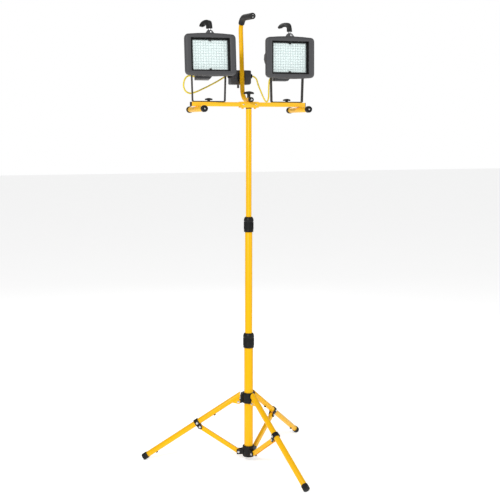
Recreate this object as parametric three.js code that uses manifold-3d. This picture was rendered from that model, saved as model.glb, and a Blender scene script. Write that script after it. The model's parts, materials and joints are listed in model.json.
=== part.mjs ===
// Twin-head LED work light on a folding, telescopic tripod. Millimetres, +Z up, lamps facing -Y.
import * as THREE from 'three';
import { mergeVertices } from 'three/addons/utils/BufferGeometryUtils.js';
import Module from 'manifold-3d';

const wasm = await Module();
wasm.setup();

// ---------------------------------------------------------------- sizes
const GAP = 0.3;                                  // fit between pieces that touch or slide
const DEG = Math.PI / 180;

// mast
const OUTER_OD = 32, WALL = 1.5, STEP = 3;        // each tube is STEP less in radius than the one round it
const MIDDLE_OD = OUTER_OD - 2 * STEP, TOP_OD = MIDDLE_OD - 2 * STEP;
const OUTER_TOP = 440, MIDDLE_TOP = 860, TOP_TOP = 1274;
const INSIDE = 65;                                // length of each tube that stays in the one below
const LOCK_H = 54, LOCK_WALL = [4, 4.5], LOCK_BELOW = 21;

// tripod
const LEG_AZ = [160.85, -79.15, 40.85];
const LEG_ANGLE = 56.5;                           // from the vertical
const LEG_OD = 20.5, LEG_LEN = 400, STRUT_W = 12, STRUT_D = 15;
const LEG_OFFSET = LEG_OD / 2 + STRUT_D / 2 + 0.5;
const HUB_WALL = 7, HUB_H = 38, CUP_Z = 14, CUP_TOP = 55, CUP_FLOOR = 4;
const PIVOT_R = 37, FOOT_PIVOT_Z = 32;
const PIN_R = 3, EAR_T = 9, CHEEK_T = 3, CLIP_W = 16, CLIP_T = 3.2;
const FOOT_WALL = 1.75, FOOT_LEN = 22, FOOT_END = 8, FOOT_WEAR = 2;
const KNOB_AZ = 100.85, KNOB_UP = 17, KNOB_D = 26;

// head
const BAR_UP = 7, BAR_H = 15, BAR_D = 20, BAR_HALF = 210;
const CROSS_OD = 19, CROSS_X = 190, CROSS_HALF = 94, CAP_WALL = 2, CAP_LEN = 16;
const HANDLE_OD = 16, HANDLE_START = -27, HANDLE_BEND = 45, HANDLE_BEND_Y = 24, HANDLE_LEAN = 4.63;
const HANDLE_RISE = 245, HANDLE_TOP_BEND = 40, GRIP_WALL = 3, GRIP_END = [-39, 284.7];
const BOX_X = [-37.5, 39], BOX_D = 34.5, BOX_CLEAR = 1.25, BOX_UP = [65, 116];
const GLAND_UP = 96, GLAND_IN = 15, GLAND_R = 9, GLAND_OUT = 8;

// lamps
const BRACKET_X = [-147, 143], LAMP_PAN = [-6, -3], LAMP_TILT = [7.1, 1.2], HOOK_TURN = [126, 158];
const PIVOT_UP = 154.5, BRACKET_GAP = 5.5, BRACKET_T = 3, BRACKET_D = 20;
const BEZEL = { w: 178, h: 147, front: -43, back: -23, r: 16, bow: 3.5, edge: 5 };
const OPENING = { w: 136, h: 114 }, GLASS_T = 3, GLASS_Y = -30.5;
const HOUSING = { w: 108, h: 96, front: -22.7, step: 20, back: 36, wall: 3 };
const HOOK_X = -1, HOOK_Y = -32, HOOK_UP = 16;
const TERMINAL_DROP = 30.5, TERMINAL_BACK = 22;
const LEAD_R = 2.75, LEAD_X = -38, LEAD_DROP = 15, LAMP_GLAND_LEN = 14;

// what follows from them
const HUB_R = OUTER_OD / 2 + HUB_WALL, FOOT_R = LEG_OD / 2 + FOOT_WALL, CAP_R = CROSS_OD / 2 + CAP_WALL;
const HUB_PIVOT_Z = (LEG_LEN + FOOT_END) * Math.cos(LEG_ANGLE * DEG)
  - (LEG_OFFSET - FOOT_R) * Math.sin(LEG_ANGLE * DEG) - FOOT_WEAR;
const HUB_Z = HUB_PIVOT_Z - 3, KNOB_Z = HUB_PIVOT_Z + KNOB_UP;
const LINK = (HUB_PIVOT_Z - FOOT_PIVOT_Z) / (2 * Math.cos(LEG_ANGLE * DEG));
const BAR_Z = TOP_TOP + BAR_UP, TOP_BAR = BAR_Z + BAR_H;
const HANDLE_Z = TOP_BAR + GAP + HANDLE_OD / 2, GRIP_R = HANDLE_OD / 2 + GRIP_WALL;
const LEAN = HANDLE_LEAN * DEG;
const handleY = (z) => HANDLE_BEND_Y + HANDLE_BEND * Math.cos(LEAN)
  + (z - HANDLE_Z - HANDLE_BEND * (1 - Math.sin(LEAN))) * Math.tan(LEAN);
const BOX_Z = BOX_UP.map((up) => TOP_BAR + up);
const BOX_FRONT = handleY(BOX_Z[1]) + HANDLE_OD / 2 / Math.cos(LEAN) + BOX_CLEAR;
const GLAND_Z = TOP_BAR + GLAND_UP, GLAND_Y = BOX_FRONT + GLAND_IN;
const PIVOT_Z = TOP_BAR + PIVOT_UP, BRACKET_W = HOUSING.w + 2 * (BRACKET_GAP + BRACKET_T);
const TERMINAL_TOP = -HOUSING.h / 2 - GAP - 0.1, LEAD_Z = TERMINAL_TOP - LEAD_DROP;

// ---------------------------------------------------------------- materials
const mat = (color, metalness, roughness, extra = {}) =>
  new THREE.MeshStandardMaterial({ color, metalness, roughness, ...extra });
const M = {
  yellow: mat(0xf6b60c, 0.0, 0.38), bar: mat(0xfabc20, 0.0, 0.38),
  black: mat(0x1a1a1c, 0.0, 0.55), rubber: mat(0x151516, 0.0, 0.8),
  grey: mat(0x48484a, 0.0, 0.5), strap: mat(0x2c2a29, 0.3, 0.5),
  steel: mat(0xc4c6c8, 1.0, 0.3), lead: mat(0xe0c41c, 0.0, 0.5),
  glass: mat(0xe8f2f2, 0.0, 0.1, { transparent: true, opacity: 0.35 }),
  led: mat(0xf2f6f4, 0.0, 0.4),
};

// ---------------------------------------------------------------- solids
function solid(geometry) {
  let g = geometry.clone();
  g.deleteAttribute('normal');
  g.deleteAttribute('uv');
  g = mergeVertices(g, 1e-4);
  const index = g.index ? g.index.array : [...Array(g.attributes.position.count).keys()];
  return new wasm.Manifold(new wasm.Mesh({
    numProp: 3,
    vertProperties: new Float32Array(g.attributes.position.array),
    triVerts: new Uint32Array(index),
  }));
}

function geometryOf(manifold) {
  const mesh = manifold.getMesh();
  const g = new THREE.BufferGeometry();
  const n = mesh.numProp, count = mesh.vertProperties.length / n;
  const p = new Float32Array(count * 3);
  for (let i = 0; i < count; i++) for (let k = 0; k < 3; k++) p[3 * i + k] = mesh.vertProperties[n * i + k];
  g.setAttribute('position', new THREE.BufferAttribute(p, 3));
  g.setIndex(new THREE.BufferAttribute(new Uint32Array(mesh.triVerts), 1));
  const flat = g.toNonIndexed();
  flat.computeVertexNormals();
  return flat;
}

const join = (...s) => s.reduce((a, b) => a.add(b));
const cut = (a, ...s) => s.reduce((x, y) => x.subtract(y), a);
const both = (a, b) => a.intersect(b);

// Profile of [radius, height] pairs turned round Z, in either order.
function turned(profile, segments = 20) {
  const points = profile.map(([r, z]) => new THREE.Vector2(r, z));
  const area = points.reduce((sum, p, i) => sum + p.cross(points[(i + 1) % points.length]), 0);
  const g = new THREE.LatheGeometry(area > 0 ? points : points.reverse(), segments);
  g.rotateX(Math.PI / 2);
  return solid(g);
}
const ring = (r0, r1, z0, z1, n = 24) => turned([[r0, z0], [r1, z0], [r1, z1], [r0, z1], [r0, z0]], n);
const rod = (r, z0, z1, n = 12) => turned([[0, z0], [r, z0], [r, z1], [0, z1]], n);

function block(x0, x1, y0, y1, z0, z1) {
  const g = new THREE.BoxGeometry(x1 - x0, y1 - y0, z1 - z0);
  g.translate((x0 + x1) / 2, (y0 + y1) / 2, (z0 + z1) / 2);
  return solid(g);
}

// Shape given in a plane, pushed along the third axis from a to b.
function plate(shape, a, b, plane = 'xy', bevel = 0) {
  const depth = b - a - 2 * bevel;
  const g = new THREE.ExtrudeGeometry(shape, {
    depth, curveSegments: 5, bevelEnabled: bevel > 0, bevelThickness: bevel, bevelSize: bevel,
    bevelOffset: -bevel, bevelSegments: 1,
  });
  g.translate(0, 0, a + bevel);
  if (plane === 'xz') g.applyMatrix4(new THREE.Matrix4().set(1, 0, 0, 0, 0, 0, -1, 0, 0, 1, 0, 0, 0, 0, 0, 1));
  if (plane === 'yz') g.applyMatrix4(new THREE.Matrix4().set(0, 0, 1, 0, 1, 0, 0, 0, 0, 1, 0, 0, 0, 0, 0, 1));
  return solid(g);
}

function outline(points) {
  const s = new THREE.Shape();
  points.forEach(([x, y], i) => (i ? s.lineTo(x, y) : s.moveTo(x, y)));
  s.closePath();
  return s;
}

// Rounded rectangle centred on (0, 0) whose top and bottom edges bow out.
function roundRect(w, h, r, bow = 0) {
  const x = w / 2, y = h / 2 - bow, s = new THREE.Shape();
  s.moveTo(-x + r, -y);
  if (bow) s.quadraticCurveTo(0, -y - 2 * bow, x - r, -y); else s.lineTo(x - r, -y);
  s.quadraticCurveTo(x, -y, x, -y + r);
  s.lineTo(x, y - r);
  s.quadraticCurveTo(x, y, x - r, y);
  if (bow) s.quadraticCurveTo(0, y + 2 * bow, -x + r, y); else s.lineTo(-x + r, y);
  s.quadraticCurveTo(-x, y, -x, y - r);
  s.lineTo(-x, -y + r);
  s.quadraticCurveTo(-x, -y, -x + r, -y);
  return s;
}

// Round bar of radius r along a curve.
function sweep(points, r, steps, n = 12) {
  const path = new THREE.CatmullRomCurve3(points.map((p) => new THREE.Vector3(...p)), false, 'centripetal');
  const circle = new THREE.Shape();
  for (let i = 0; i < n; i++) {
    const a = (2 * Math.PI * i) / n;
    if (i) circle.lineTo(r * Math.cos(a), r * Math.sin(a)); else circle.moveTo(r, 0);
  }
  circle.closePath();
  return solid(new THREE.ExtrudeGeometry(circle, { steps, extrudePath: path, bevelEnabled: false }));
}

const turnX = (s, deg) => s.rotate([deg, 0, 0]);
const turnY = (s, deg) => s.rotate([0, deg, 0]);
const turnZ = (s, deg) => s.rotate([0, 0, deg]);
const rodX = (r, x0, x1, y = 0, z = 0, n = 12) => turnY(rod(r, x0, x1, n), 90).translate([0, y, z]);
const rodY = (r, y0, y1, x = 0, z = 0, n = 12) => turnX(rod(r, -y1, -y0, n), 90).translate([x, 0, z]);

// ---------------------------------------------------------------- assembly
const group = new THREE.Group();
group.name = 'work_light';
const pieces = [];
function add(name, manifold, material) {
  const mesh = new THREE.Mesh(geometryOf(manifold), material);
  mesh.name = name;
  group.add(mesh);
  pieces.push(mesh);
}

// Grip lobes round a knob head, axis along Z.
function lobed(r, lobes, depth, z0, z1) {
  const s = new THREE.Shape(), n = lobes * 4;
  for (let i = 0; i < n; i++) {
    const a = (2 * Math.PI * i) / n, q = r - depth * (0.5 - 0.5 * Math.cos(lobes * a));
    if (i) s.lineTo(q * Math.cos(a), q * Math.sin(a)); else s.moveTo(q, 0);
  }
  s.closePath();
  return plate(s, z0, z1, 'xy', 1.5);
}

// Wing of a knob: half its span, half its thickness, its underside, the height of its ends and of its middle.
function wing(half, thick, z, ends, middle) {
  const s = new THREE.Shape();
  s.moveTo(-half, z);
  s.lineTo(-half, z + ends);
  s.quadraticCurveTo(-0.55 * half, z + middle - 0.5, 0, z + middle);
  s.quadraticCurveTo(0.55 * half, z + middle - 0.5, half, z + ends);
  s.lineTo(half, z);
  s.closePath();
  return plate(s, -thick, thick, 'xz', 1.2);
}

// ---------------------------------------------------------------- mast
function buildMast() {
  const ro = OUTER_OD / 2, rm = MIDDLE_OD / 2, rt = TOP_OD / 2;
  add('outer_tube', ring(ro - WALL, ro, CUP_Z + CUP_FLOOR + GAP, OUTER_TOP), M.yellow);
  const swaged = (r, wide, z0, z1) => turned([[r - WALL, z0], [wide, z0], [wide, z0 + 14],
    [r, z0 + 17], [r, z1], [r - WALL, z1], [r - WALL, z0]]);
  add('middle_tube', swaged(rm, ro - WALL - GAP, OUTER_TOP - INSIDE, MIDDLE_TOP), M.yellow);
  add('top_tube', swaged(rt, rm - WALL - GAP, MIDDLE_TOP - INSIDE, TOP_TOP), M.yellow);
  const lock = (r, below, above, seat) => {
    const z0 = seat - LOCK_BELOW, z1 = z0 + LOCK_H;
    const s = turned([[below + GAP, z0], [r - 1, z0], [r, z0 + 1.5], [r, z1 - 9], [r - 1.2, z1 - 4],
      [r - 4, z1 - 0.6], [above + 1.5, z1], [above + GAP, z1], [above + GAP, seat + GAP],
      [below + GAP, seat + GAP], [below + GAP, z0]]);
    return cut(s, ...[0, 60, 120, 180, 240, 300].map((a) => turnZ(block(r - 1, r + 2, -2, 2, z0 + 8, z0 + 30), a)));
  };
  add('lower_lock_ring', lock(ro + LOCK_WALL[0], ro, rm, OUTER_TOP), M.black);
  add('upper_lock_ring', lock(rm + LOCK_WALL[1], rm, rt, MIDDLE_TOP), M.black);
}

// ---------------------------------------------------------------- tripod
function buildHubs() {
  const r = HUB_R, bore = OUTER_OD / 2 + GAP;
  let hub = turned([[bore, HUB_Z], [r - 2, HUB_Z], [r, HUB_Z + 2], [r, HUB_Z + HUB_H - 4],
    [r - 3, HUB_Z + HUB_H], [bore, HUB_Z + HUB_H], [bore, HUB_Z]]);
  const low = HUB_PIVOT_Z - 6.4, top = HUB_Z + 29, edge = PIVOT_R - 6.6;
  const ear = outline([[bore + 2, low + 5], [PIVOT_R - 3, low], [PIVOT_R, low], [PIVOT_R + 4.5, low + 2],
    [PIVOT_R + 6.4, HUB_PIVOT_Z], [PIVOT_R + 4.5, HUB_PIVOT_Z + 4.4], [PIVOT_R, HUB_PIVOT_Z + 6.2],
    [edge, HUB_PIVOT_Z + 8], [edge, top - 3], [edge - 3, top], [bore + 2, top]]);
  for (const az of LEG_AZ) {
    let e = turnX(plate(ear, -EAR_T / 2, EAR_T / 2), 90);
    e = cut(e, rodY(PIN_R + GAP, -10, 10, PIVOT_R, HUB_PIVOT_Z));
    hub = join(hub, turnZ(e, az));
  }
  const hole = () => turnY(rod(PIN_R + GAP, 0, 2 * r), 90);
  const boss = cut(turnY(rod(8, bore + 1.5, r + 4.5), 90), hole());
  hub = cut(hub, turnZ(hole().translate([0, 0, KNOB_Z]), KNOB_AZ));
  hub = join(hub, turnZ(boss.translate([0, 0, KNOB_Z]), KNOB_AZ));
  add('leg_hub', hub, M.black);

  const knob = join(rod(PIN_R, bore + GAP, r + 7), lobed(KNOB_D / 2, 6, 2, r + 5.2, r + 19));
  add('hub_lock_knob', turnZ(turnY(turnZ(knob, 15), 90).translate([0, 0, KNOB_Z]), KNOB_AZ), M.black);

  let cup = turned([[0, CUP_Z], [r - 3, CUP_Z], [r - 1, CUP_Z + 3], [r - 1, CUP_TOP - 2], [r - 3, CUP_TOP],
    [bore, CUP_TOP], [bore, CUP_Z + CUP_FLOOR], [0, CUP_Z + CUP_FLOOR]]);
  const side = STRUT_W / 2 + 0.4, z = FOOT_PIVOT_Z;
  const cheek = outline([[bore + 1, z - 9], [PIVOT_R + 4, z - 9.5], [PIVOT_R + 6.3, z - 7],
    [PIVOT_R + 6.3, z + 7], [PIVOT_R + 4, z + 9.5], [PIVOT_R - 8, z + 9.5], [bore + 1, z + 14]]);
  for (const az of LEG_AZ) {
    for (const s of [side, -side - CHEEK_T]) cup = join(cup, turnZ(turnX(plate(cheek, s, s + CHEEK_T), 90), az));
  }
  add('strut_hub', cut(cup, rod(bore, CUP_Z + CUP_FLOOR, CUP_TOP + 5, 28)), M.black);
}

// Local leg frame: X along the tube away from the hub, Z outward from its pivot line.
function placeLeg(s, az) {
  const t = 90 - LEG_ANGLE;
  return turnZ(turnY(s, t).translate([PIVOT_R, 0, HUB_PIVOT_Z]), az);
}

function buildLeg(i) {
  const az = LEG_AZ[i], r = LEG_OD / 2, o = LEG_OFFSET, tag = 'abc'[i];
  const t = 90 - LEG_ANGLE;

  // tube, mitred parallel to the mast, with a fork and its pin
  let leg = rodX(r, -30, LEG_LEN, 0, o, 24);
  const fork = outline([[-8, 0], [-7, -3.5], [-4, -7], [0, -8], [4, -7], [8, -2], [22, o - 6], [24, o],
    [-9, o], [-8.5, 6]]);
  for (const s of [EAR_T / 2 + 0.4, -EAR_T / 2 - 0.4 - 2.6]) leg = join(leg, turnX(plate(fork, s, s + 2.6), 90));
  leg = join(leg, rodY(PIN_R, -EAR_T / 2 - 1, EAR_T / 2 + 1));
  leg = cut(leg, rodX(r - WALL, -31, LEG_LEN + 1, 0, o, 24));
  leg = join(leg, rodY(PIN_R, -EAR_T / 2 - 1, EAR_T / 2 + 1));
  leg = placeLeg(leg, 0);
  leg = cut(leg, block(-50, PIVOT_R - 6, -30, 30, HUB_PIVOT_Z - 40, HUB_PIVOT_Z + 80));
  add(`leg_tube_${tag}`, turnZ(leg, az), M.yellow);

  // rubber foot, cut flat by the ground
  const end = LEG_LEN + FOOT_END, R = FOOT_R;
  let foot = turned([[0, end], [R - 3.5, end], [R - 1, end - 1.2], [R, end - 4], [R, end - FOOT_LEN + 1],
    [R - 0.6, end - FOOT_LEN], [r + GAP, end - FOOT_LEN], [r + GAP, LEG_LEN + GAP], [0, LEG_LEN + GAP]], 20);
  foot = placeLeg(turnY(foot, 90).translate([0, 0, o]), 0);
  foot = cut(foot, block(0, 2 * LEG_LEN, -40, 40, -60, 0));
  add(`leg_foot_${tag}`, turnZ(foot, az), M.rubber);

  // saddle clip round the tube with the strut's pin between its cheeks
  const side = STRUT_W / 2 + 0.4, c = LINK, k = CLIP_W / 2;
  let clip = rodX(r + CLIP_T, c - k, c + k, 0, o, 24);
  const lug = outline([[c - k, 0], [c - 0.83 * k, -5], [c - 0.39 * k, -8.3], [c, -9], [c + 0.39 * k, -8.3],
    [c + 0.83 * k, -5], [c + k, 0], [c + k, o], [c - k, o]]);
  for (const s of [side, -side - CHEEK_T]) clip = join(clip, turnX(plate(lug, s, s + CHEEK_T), 90));
  clip = cut(clip, block(c - 20, c + 20, -side, side, -20, o), rodX(r + GAP, c - 20, c + 20, 0, o, 24));
  clip = join(clip, rodY(PIN_R, -side - 1, side + 1, c, 0));
  add(`leg_clip_${tag}`, placeLeg(clip, az), M.black);

  // strut: folded channel from the clip pin down to the lower hub
  const w = STRUT_W / 2, h = STRUT_D / 2, L = LINK, s = new THREE.Shape();
  s.moveTo(0, -h);
  s.lineTo(L, -h);
  s.absarc(L, 0, h, -Math.PI / 2, Math.PI / 2, false);
  s.lineTo(0, h);
  s.absarc(0, 0, h, Math.PI / 2, (3 * Math.PI) / 2, false);
  let strut = turnX(plate(s, -w, w), 90);
  strut = cut(strut, block(-h - 1, L + h + 1, -w + WALL, w - WALL, -h + WALL, h + 1),
    rodY(PIN_R + GAP, -w - 1, w + 1), rodY(PIN_R + GAP, -w - 1, w + 1, L, 0));
  const cx = PIVOT_R + LINK * Math.sin(LEG_ANGLE * DEG), cz = HUB_PIVOT_Z - LINK * Math.cos(LEG_ANGLE * DEG);
  strut = turnY(strut, 180 - t).translate([cx, 0, cz]);
  add(`strut_${tag}`, turnZ(strut, az), M.yellow);
}

// ---------------------------------------------------------------- head frame
function buildBar() {
  const d = BAR_D / 2;
  let bar = cut(block(-BAR_HALF, BAR_HALF, -d, d, BAR_Z, TOP_BAR),
    block(-BAR_HALF - 1, BAR_HALF + 1, -d + WALL, d - WALL, BAR_Z + WALL, TOP_BAR - WALL));
  for (const x of [0, ...BRACKET_X]) bar = cut(bar, rod(PIN_R + GAP, TOP_BAR - 3, TOP_BAR + 1).translate([x, 0, 0]));
  add('crossbar', bar, M.bar);

  const zc = BAR_Z - 0.5 - CROSS_OD / 2, rc = CROSS_OD / 2, R = CAP_R, e = CROSS_HALF + 3;
  for (const [tag, x] of [['l', -CROSS_X], ['r', CROSS_X]]) {
    const tube = turnX(ring(rc - WALL, rc, -CROSS_HALF, CROSS_HALF, 24), 90).translate([x, 0, zc]);
    add(`cross_tube_${tag}`, tube, M.bar);
    const cap = turned([[0, e], [R - 2.5, e], [R, e - 2], [R, e - CAP_LEN], [rc + GAP, e - CAP_LEN],
      [rc + GAP, CROSS_HALF + GAP], [0, CROSS_HALF + GAP]], 20);
    add(`cross_cap_front_${tag}`, turnX(cap, 90).translate([x, 0, zc]), M.black);
    add(`cross_cap_back_${tag}`, turnX(cap, -90).translate([x, 0, zc]), M.black);
  }

  // saddle that carries the bar on the mast
  const y = d + GAP + 2.5, bottom = BAR_Z - GAP - 3.5;
  let saddle = block(-33, 33, -y, y, bottom, TOP_BAR + 2);
  saddle = cut(saddle, block(-40, 40, -d - GAP, d + GAP, BAR_Z - GAP, TOP_BAR + 9),
    rodY(HANDLE_OD / 2 + 0.6, -40, 40, 0, HANDLE_Z, 24));
  saddle = join(saddle, rod(TOP_OD / 2 - WALL - GAP, TOP_TOP - 25, bottom + 1, 24));
  for (const x of [-23, 23]) {
    saddle = join(saddle, turned([[0, bottom - 4.5], [2.5, bottom - 4.5], [4.5, bottom - 2.5], [4.5, bottom + 1],
      [0, bottom + 1]], 12).translate([x, 0, 0]));
  }
  add('head_saddle', saddle, M.bar);

  // domed wing knob that pulls the handle and the bar together
  const k = HANDLE_Z + HANDLE_OD / 2 + GAP;
  const knob = join(rod(PIN_R, TOP_BAR - 9, k + 2),
    turned([[0, k], [7.5, k], [5.5, k + 4], [6.5, k + 14], [0, k + 14]], 20), wing(18, 6, k + 12, 5, 10));
  add('clamp_knob', knob, M.black);
}

// Centre line of the handle in the plane X = 0, from its front end to the grip's end.
function handleLine() {
  const R = HANDLE_BEND, y0 = HANDLE_BEND_Y, lean = LEAN;
  const foot = [], neck = [], crook = [], top = HANDLE_Z + HANDLE_RISE;
  for (let i = 0; i < 5; i++) foot.push([0, HANDLE_START + ((y0 - HANDLE_START) * i) / 5, HANDLE_Z]);
  for (let i = 0; i <= 8; i++) {
    const a = (i / 8) * (Math.PI / 2 - lean);
    foot.push([0, y0 + R * Math.sin(a), HANDLE_Z + R * (1 - Math.cos(a))]);
  }
  const [, ya, za] = foot[foot.length - 1], yb = ya + (top - za) * Math.tan(lean);
  for (let i = 1; i <= 8; i++) neck.push([0, ya + ((yb - ya) * i) / 8, za + ((top - za) * i) / 8]);
  const r2 = HANDLE_TOP_BEND, turn = Math.PI / 2 + lean, end = [GRIP_END[0], HANDLE_Z + GRIP_END[1]];
  const c = [yb - r2 * Math.cos(lean), top + r2 * Math.sin(lean)];
  for (let i = 1; i <= 8; i++) {
    const a = -lean + (turn * i) / 8;
    crook.push([0, c[0] + r2 * Math.cos(a), c[1] + r2 * Math.sin(a)]);
  }
  const [, yc, zc] = crook[crook.length - 1];
  for (let i = 1; i <= 8; i++) crook.push([0, yc + ((end[0] - yc) * i) / 8, zc + ((end[1] - zc) * i) / 8]);
  return { foot, neck, crook };
}

function buildHandle() {
  const { foot, neck, crook } = handleLine(), path = [...foot, ...neck, ...crook], steps = 44;
  let tube = sweep(path, HANDLE_OD / 2, steps, 12);
  tube = cut(tube, rod(PIN_R + GAP, TOP_BAR - 2, TOP_BAR + HANDLE_OD + 4));
  add('handle_tube', tube, M.yellow);

  const last = crook[crook.length - 1], bore = HANDLE_OD / 2 + 2 * GAP;
  let grip = sweep([...crook.slice(2), [0, last[1] - 3, last[2]]], GRIP_R, 20, 12);
  const tip = turnX(turned([[0, 0], [GRIP_R, 0], [GRIP_R - 0.6, 1.6], [GRIP_R - 3, 4], [0, 5]], 12), 90)
    .translate([0, last[1] - 2, last[2]]);
  grip = join(grip, tip);
  grip = cut(grip, sweep(path, bore, steps, 12), rodY(bore, last[1] - GAP, last[1] + 4, 0, last[2]));
  add('handle_grip', grip, M.rubber);

  const R = HANDLE_OD / 2 + 1, lip = 0.7;
  const cap = turned([[0, 4], [R - 2, 4], [R, 2.5], [R, -9], [R - lip, -9], [R - lip, GAP], [0, GAP]], 20);
  add('handle_end_cap', turnX(cap, 90).translate([0, HANDLE_START, HANDLE_Z]), M.black);
}

// ---------------------------------------------------------------- junction box and glands
function buildBox() {
  const [x0, x1] = BOX_X, y0 = BOX_FRONT, y1 = BOX_FRONT + BOX_D, [z0, z1] = BOX_Z;
  const s = new THREE.Shape();
  s.moveTo(x0 + 3, z0);
  s.lineTo(x1 - 10, z0);
  s.quadraticCurveTo(x1, z0, x1, z0 + 10);
  s.lineTo(x1, z1 - 3);
  s.lineTo(x1 - 3, z1);
  s.lineTo(x0 + 3, z1);
  s.lineTo(x0, z1 - 3);
  s.lineTo(x0, z0 + 3);
  s.closePath();
  let box = plate(s, -y1, -y0, 'xz', 1.5);
  box = join(box, rod(4, z0 - 12, z0 + 2, 16).translate([-5, (y0 + y1) / 2, 0]));
  add('junction_box', box, M.grey);

  const R = GLAND_R, out = GLAND_OUT;
  const nut = () => turned([[0, 0], [R, 0], [R, out * 0.55], [R - 1.5, out * 0.8], [R - 3.5, out], [0, out]], 12);
  add('gland_r', turnY(nut(), 90).translate([x1 + GAP, GLAND_Y, GLAND_Z]), M.black);
  add('gland_l', turnY(nut(), -90).translate([x0 - GAP, GLAND_Y, GLAND_Z]), M.black);

  // saddle between the back of the handle and the box
  const zb = (z0 + z1) / 2, at = handleY(zb);
  const pads = cut(block(-12, 12, at + 2, y0 - GAP, zb - 14, zb + 14),
    turnX(rod(HANDLE_OD / 2 + 2 * GAP, -30, 30, 24), -HANDLE_LEAN).translate([0, at, zb]));
  add('box_clip', pads, M.black);
}

// ---------------------------------------------------------------- lamps
// Puts a solid from a lamp's own frame, whose origin is the middle of its tilt pivot, into its place.
const placeLamp = (s, i) => turnZ(turnX(s, -LAMP_TILT[i]).translate([0, 0, PIVOT_Z]), LAMP_PAN[i])
  .translate([BRACKET_X[i], 0, 0]);

function lampPoint(i, x, y, z) {
  const v = new THREE.Vector3(x, y, z);
  v.applyAxisAngle(new THREE.Vector3(1, 0, 0), -LAMP_TILT[i] * DEG);
  v.applyAxisAngle(new THREE.Vector3(0, 0, 1), LAMP_PAN[i] * DEG);
  return [v.x + BRACKET_X[i], v.y, v.z + PIVOT_Z];
}

function buildBracket(i, tag) {
  const x = BRACKET_X[i], z0 = TOP_BAR + GAP, w = BRACKET_W / 2, t = BRACKET_T, top = PIVOT_Z + BRACKET_D / 2 + 0.5;
  const b = w - (PIVOT_Z - z0) * Math.tan(1.5 * DEG), up = w + (top - PIVOT_Z) * Math.tan(1.5 * DEG);
  const u = outline([[-b + 3, z0], [b - 3, z0], [b, z0 + 3], [up, top], [up - t, top], [b - t, z0 + 5],
    [b - t - 2, z0 + t], [-b + t + 2, z0 + t], [-b + t, z0 + 5], [-up + t, top], [-up, top], [-b, z0 + 3]]);
  const d = BRACKET_D / 2, side = new THREE.Shape();
  side.moveTo(-d, z0 - 1);
  side.lineTo(d, z0 - 1);
  side.lineTo(d, PIVOT_Z);
  side.absarc(0, PIVOT_Z, d, 0, Math.PI, false);
  side.closePath();
  let s = both(plate(u, -d, d, 'xz'), plate(side, -80, 80, 'yz'));
  s = cut(s, rod(PIN_R + GAP, z0 - 5, z0 + 9), rodX(5 + GAP, -80, 80, 0, PIVOT_Z));
  add(`bracket_${tag}`, turnZ(s, LAMP_PAN[i]).translate([x, 0, 0]), M.strap);

  const k = z0 + t + GAP;
  const knob = join(rod(PIN_R, TOP_BAR - 9, k + 2), turned([[0, k], [5.5, k], [4.5, k + 4], [0, k + 4]], 20),
    wing(13, 5, k + 2.5, 4.5, 7.5));
  add(`wing_knob_${tag}`, turnZ(knob, LAMP_PAN[i]).translate([x, 0, 0]), M.black);

  const tilt = join(rod(PIN_R, w - 12, w + 3), lobed(21, 7, 2.4, w + 1, w + 17));
  add(`tilt_knob_${tag}`, turnZ(turnY(tilt, -90).translate([0, 0, PIVOT_Z]), LAMP_PAN[i])
    .translate([x, 0, 0]), M.black);
}

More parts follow.
